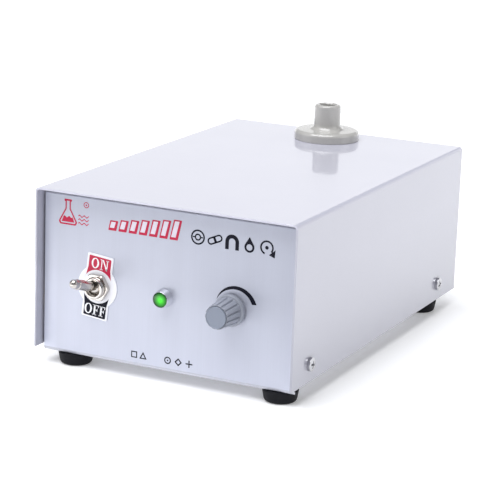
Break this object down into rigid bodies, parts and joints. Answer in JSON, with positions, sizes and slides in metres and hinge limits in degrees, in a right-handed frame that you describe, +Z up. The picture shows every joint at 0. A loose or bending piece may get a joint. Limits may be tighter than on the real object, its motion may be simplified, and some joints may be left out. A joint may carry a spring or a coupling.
{
  "type": "magnetic stirrer",
  "caption": "Bench-top magnetic stirrer: recessed control panel with toggle switch, lamp and speed knob, rubber feet, support-rod holder and a motor that spins magnets under the top plate.",
  "frame": {"origin": "middle of the whole object's footprint, on the bench under the rubber feet", "axes": "+Z up; -Y out of the control panel, towards the user; +X to the user's right"},
  "size_m": [0.1646, 0.273, 0.1245],
  "materials": {
    "cover_paint": "satin silver-grey enamel",
    "chassis_paint": "satin silver-grey enamel",
    "panel_film": "fine-grained printed silver film",
    "foot_rubber": "matt black",
    "steel_screw": "bright nickel",
    "zinc_steel": "zinc plated",
    "holder_plastic": "glossy grey-beige",
    "black_plastic": "moulded",
    "switch_body": "moulded phenolic",
    "bright_metal": "bright nickel",
    "tinned_copper": "tinned",
    "brass": "turned",
    "legend_print": "white with a red and a black field",
    "lamp_chrome": "polished",
    "lamp_green": "lit green lens",
    "knob_grey": "moulded grey",
    "cap_grey": "moulded blue-grey",
    "aluminium": "machined",
    "magnet": "sintered",
    "laminations": "stacked sheet",
    "winding": "taped winding",
    "board_green": "solder-masked board",
    "component_blue": "sleeved",
    "carbon": "pressed carbon",
    "wire_grey": "sheathed loom",
    "fuse_glass": "clear with metal caps"
  },
  "bodies": {
    "case": {"top_cover": "cover_paint", "chassis_tray": "chassis_paint", "front_label": "panel_film", "rubber_feet": "foot_rubber", "foot_screws": "zinc_steel", "foot_nuts": "zinc_steel", "cover_screws": "steel_screw", "cover_clip_nuts": "zinc_steel", "rod_holder": "holder_plastic", "rod_holder_nut": "holder_plastic", "toggle_body": "switch_body", "toggle_bushing": "bright_metal", "toggle_nut": "bright_metal", "toggle_lock_washer": "zinc_steel", "toggle_back_nut": "bright_metal", "toggle_terminals": "tinned_copper", "toggle_legend_plate": "legend_print", "lamp_bezel": "lamp_chrome", "lamp_lens": "lamp_green", "lamp_nut": "zinc_steel", "lamp_leads": "tinned_copper", "pot_can": "zinc_steel", "pot_bushing": "brass", "pot_nut": "zinc_steel", "pot_terminals": "tinned_copper", "motor_plate": "zinc_steel", "motor_standoffs": "brass", "motor_can": "zinc_steel", "motor_end_bell": "aluminium", "motor_bearings": "bright_metal", "motor_field_magnets": "magnet", "motor_brushes": "carbon", "transformer_core": "laminations", "transformer_winding": "winding", "transformer_bracket": "zinc_steel", "control_board": "board_green", "board_standoffs": "brass", "board_components": "component_blue", "heat_sink": "aluminium", "m3_screws": "steel_screw", "mains_inlet": "black_plastic", "inlet_pins": "bright_metal", "fuse_holder": "black_plastic", "fuse_holder_nut": "black_plastic", "mains_wires": "wire_grey", "motor_wires": "wire_grey", "control_wires": "wire_grey"},
    "toggle_lever": {"toggle_lever": "bright_metal"},
    "toggle_rocker": {"toggle_rocker": "brass"},
    "speed_knob": {"knob_body": "knob_grey", "knob_cap": "cap_grey", "knob_collet": "brass", "pot_shaft": "aluminium", "pot_wiper": "brass"},
    "drive_rotor": {"motor_armature": "laminations", "motor_shaft": "bright_metal", "magnet_carrier": "aluminium", "drive_magnets": "magnet"},
    "fuse_carrier": {"fuse_cap": "black_plastic", "fuse": "fuse_glass"}
  },
  "joints": [
    {"name": "toggle_lever_tilt", "type": "hinge", "parent": "case", "child": "toggle_lever", "pos_m": [-0.0433, -0.10966, 0.0493], "axis": [1, 0, 0], "range_deg": [0, 34]},
    {"name": "toggle_rocker_tilt", "type": "hinge", "parent": "case", "child": "toggle_rocker", "pos_m": [-0.0433, -0.09266, 0.0493], "axis": [1, 0, 0], "range_deg": [-20, 0]},
    {"name": "speed_knob_turn", "type": "hinge", "parent": "case", "child": "speed_knob", "pos_m": [0.0395, -0.10816, 0.0491], "axis": [0, -1, 0], "range_deg": [-150, 150]},
    {"name": "drive_spin", "type": "hinge", "parent": "case", "child": "drive_rotor", "pos_m": [0, -0.01116, 0.089], "axis": [0, 0, 1], "continuous": true},
    {"name": "fuse_cap_turn", "type": "hinge", "parent": "case", "child": "fuse_carrier", "pos_m": [0.004, 0.12584, 0.045], "axis": [0, 1, 0], "range_deg": [0, 90]}
  ],
  "couplings": [
    {"joint": "toggle_rocker_tilt", "follows": "toggle_lever_tilt", "ratio": -0.5882}
  ]
}
